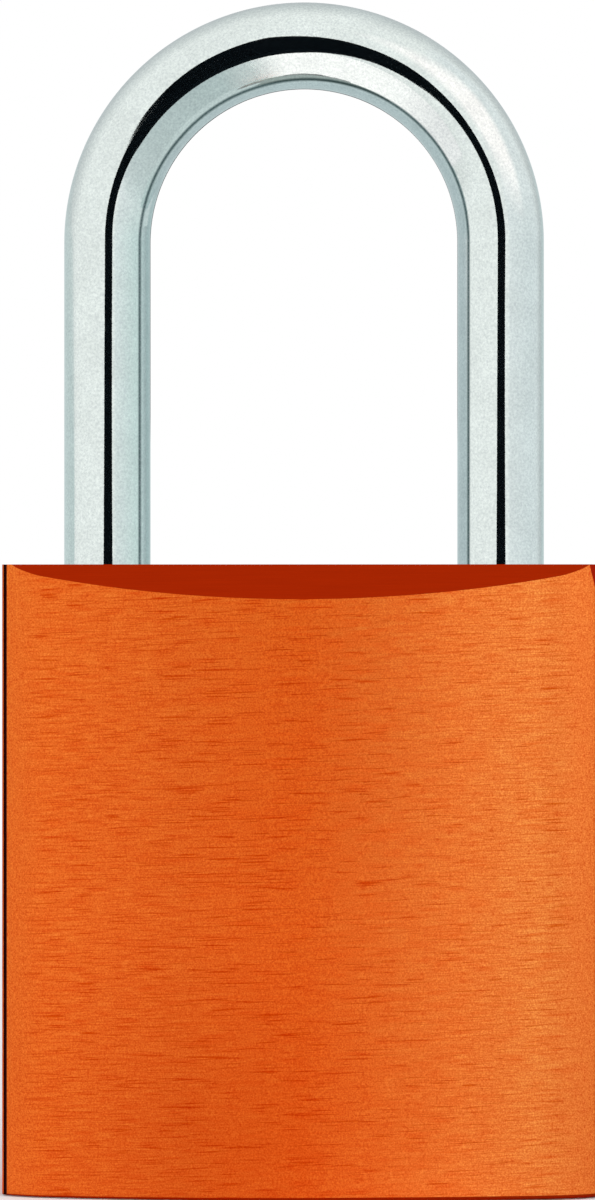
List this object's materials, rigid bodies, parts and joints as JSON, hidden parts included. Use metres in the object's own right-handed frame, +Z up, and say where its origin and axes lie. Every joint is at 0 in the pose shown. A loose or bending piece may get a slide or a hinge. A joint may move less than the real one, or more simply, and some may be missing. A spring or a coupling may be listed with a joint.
{
  "type": "safety padlock",
  "caption": "Small safety padlock: orange anodised aluminium block with crowned faces, chromed steel U shackle, pin tumbler cylinder, spiral cam and locking bolts.",
  "frame": {"origin": "middle of the body's flat base", "axes": "+Z up along the shackle legs, +X from the heel leg to the toe leg, -Y out of the front face"},
  "size_m": [0.0306, 0.0144, 0.0616],
  "materials": {
    "orange_anodised": "brushed and anodised orange",
    "chrome": "polished chrome plating",
    "nickel_brass": "matt nickel plating on brass",
    "brass": "turned brass",
    "steel": "turned steel",
    "spring_steel": "drawn wire"
  },
  "bodies": {
    "body": {"body": "orange_anodised", "cylinder_case": "nickel_brass", "spring_cover": "nickel_brass", "cylinder_screw": "steel", "shackle_retaining_pin": "steel", "shackle_spring": "spring_steel", "driver_spring_1": "spring_steel", "driver_spring_2": "spring_steel", "driver_spring_3": "spring_steel", "driver_spring_4": "spring_steel", "driver_spring_5": "spring_steel"},
    "shackle": {"shackle": "chrome"},
    "plug": {"plug": "brass", "plug_clip": "spring_steel", "cam_plate": "steel"},
    "bolt_heel": {"bolt_heel": "steel"},
    "bolt_toe": {"bolt_toe": "steel"},
    "key_pin_1": {"key_pin_1": "brass"},
    "key_pin_2": {"key_pin_2": "brass"},
    "key_pin_3": {"key_pin_3": "brass"},
    "key_pin_4": {"key_pin_4": "brass"},
    "key_pin_5": {"key_pin_5": "brass"},
    "driver_pin_1": {"driver_pin_1": "steel"},
    "driver_pin_2": {"driver_pin_2": "steel"},
    "driver_pin_3": {"driver_pin_3": "steel"},
    "driver_pin_4": {"driver_pin_4": "steel"},
    "driver_pin_5": {"driver_pin_5": "steel"}
  },
  "joints": [
    {"name": "shackle_lift", "type": "slide", "parent": "body", "child": "shackle", "axis": [0, 0, 1], "range_m": [0, 0.0081], "deforming": ["shackle_spring"]},
    {"name": "plug_turn", "type": "hinge", "parent": "body", "child": "plug", "pos_m": [-0.0015, 0, 0.0003], "axis": [0, 0, -1], "range_deg": [0, 90]},
    {"name": "bolt_heel_slide", "type": "slide", "parent": "body", "child": "bolt_heel", "axis": [-1, 0, 0], "range_m": [0, 0.0011]},
    {"name": "bolt_toe_slide", "type": "slide", "parent": "body", "child": "bolt_toe", "axis": [1, 0, 0], "range_m": [0, 0.0011]},
    {"name": "key_pin_1_drop", "type": "slide", "parent": "plug", "child": "key_pin_1", "axis": [0, -1, 0], "range_m": [0, 0.00175]},
    {"name": "key_pin_2_drop", "type": "slide", "parent": "plug", "child": "key_pin_2", "axis": [0, -1, 0], "range_m": [0, 0.00105]},
    {"name": "key_pin_3_drop", "type": "slide", "parent": "plug", "child": "key_pin_3", "axis": [0, -1, 0], "range_m": [0, 0.00145]},
    {"name": "key_pin_4_drop", "type": "slide", "parent": "plug", "child": "key_pin_4", "axis": [0, -1, 0], "range_m": [0, 0.00085]},
    {"name": "key_pin_5_drop", "type": "slide", "parent": "plug", "child": "key_pin_5", "axis": [0, -1, 0], "range_m": [0, 0.00165]},
    {"name": "driver_pin_1_lift", "type": "slide", "parent": "body", "child": "driver_pin_1", "axis": [1, 0, 0], "range_m": [0, 0.0016], "stiffness_N_per_m": 100, "springref_m": -0.002, "deforming": ["driver_spring_1"]},
    {"name": "driver_pin_2_lift", "type": "slide", "parent": "body", "child": "driver_pin_2", "axis": [1, 0, 0], "range_m": [0, 0.0016], "stiffness_N_per_m": 100, "springref_m": -0.002, "deforming": ["driver_spring_2"]},
    {"name": "driver_pin_3_lift", "type": "slide", "parent": "body", "child": "driver_pin_3", "axis": [1, 0, 0], "range_m": [0, 0.0016], "stiffness_N_per_m": 100, "springref_m": -0.002, "deforming": ["driver_spring_3"]},
    {"name": "driver_pin_4_lift", "type": "slide", "parent": "body", "child": "driver_pin_4", "axis": [1, 0, 0], "range_m": [0, 0.0016], "stiffness_N_per_m": 100, "springref_m": -0.002, "deforming": ["driver_spring_4"]},
    {"name": "driver_pin_5_lift", "type": "slide", "parent": "body", "child": "driver_pin_5", "axis": [1, 0, 0], "range_m": [0, 0.0016], "stiffness_N_per_m": 100, "springref_m": -0.002, "deforming": ["driver_spring_5"]}
  ],
  "couplings": [
    {"joint": "bolt_heel_slide", "follows": "plug_turn", "m_per_rad": 0.00070028},
    {"joint": "bolt_toe_slide", "follows": "plug_turn", "m_per_rad": 0.00070028},
    {"joint": "key_pin_2_drop", "follows": "key_pin_1_drop", "ratio": 0.6},
    {"joint": "key_pin_3_drop", "follows": "key_pin_1_drop", "ratio": 0.828},
    {"joint": "key_pin_4_drop", "follows": "key_pin_1_drop", "ratio": 0.485},
    {"joint": "key_pin_5_drop", "follows": "key_pin_1_drop", "ratio": 0.942},
    {"joint": "driver_pin_2_lift", "follows": "driver_pin_1_lift", "ratio": 1},
    {"joint": "driver_pin_3_lift", "follows": "driver_pin_1_lift", "ratio": 1},
    {"joint": "driver_pin_4_lift", "follows": "driver_pin_1_lift", "ratio": 1},
    {"joint": "driver_pin_5_lift", "follows": "driver_pin_1_lift", "ratio": 1}
  ]
}
